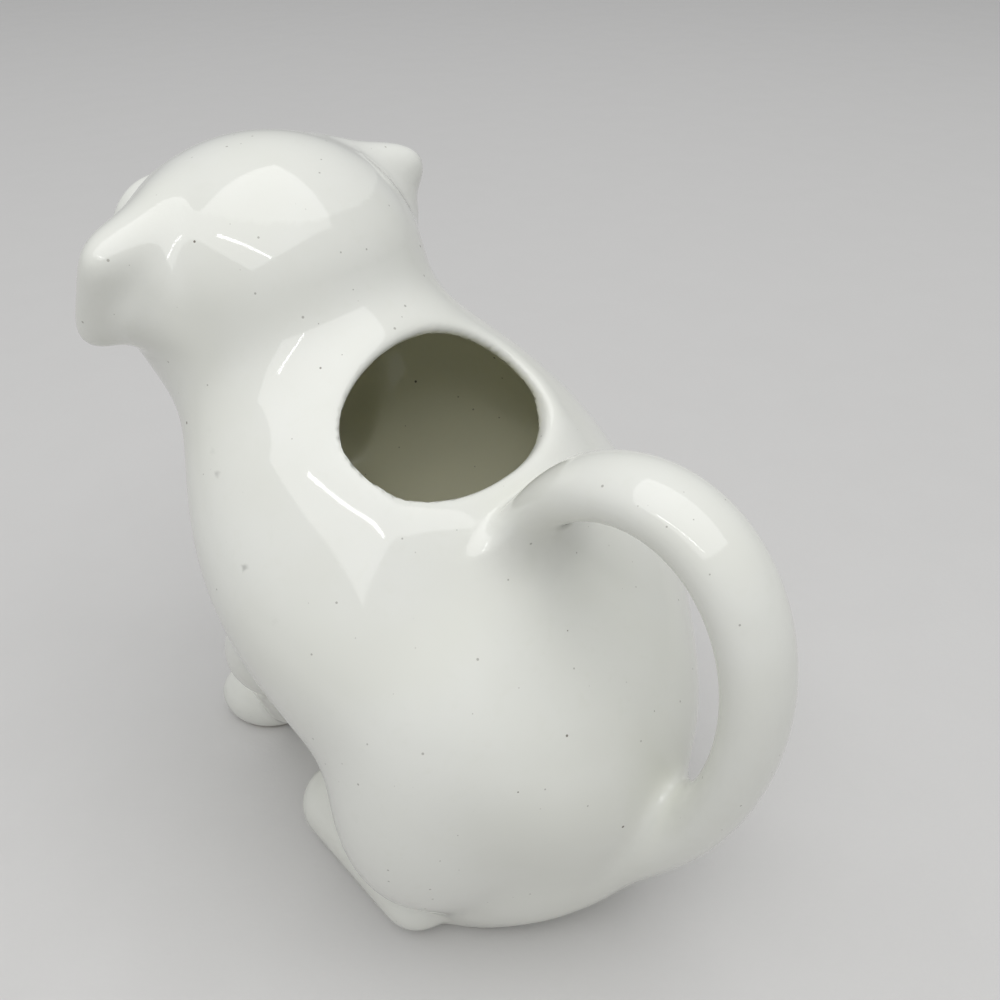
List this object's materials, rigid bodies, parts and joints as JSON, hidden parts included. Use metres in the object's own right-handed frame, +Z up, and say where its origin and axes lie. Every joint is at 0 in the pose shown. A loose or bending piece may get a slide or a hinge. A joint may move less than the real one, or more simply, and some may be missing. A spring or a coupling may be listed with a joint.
{
  "type": "pig-shaped creamer",
  "caption": "Seated pig cream jug in white glazed ceramic: hollow body filled at the back of the neck, loop handle behind, pouring through the nostrils of the snout.",
  "frame": {"origin": "middle of the flat base of the body, on the surface that it stands on", "axes": "+Z up; the pig faces -Y and its handle is at +Y; +X is the pig's left"},
  "size_m": [0.0882, 0.1549, 0.1399],
  "materials": {
    "white_glaze": "gloss"
  },
  "bodies": {
    "root": {"body_shell": "white_glaze", "snout": "white_glaze", "ear_left": "white_glaze", "ear_right": "white_glaze", "foreleg_left": "white_glaze", "foreleg_right": "white_glaze", "hind_foot_left": "white_glaze", "hind_foot_right": "white_glaze", "handle": "white_glaze"}
  },
  "joints": []
}
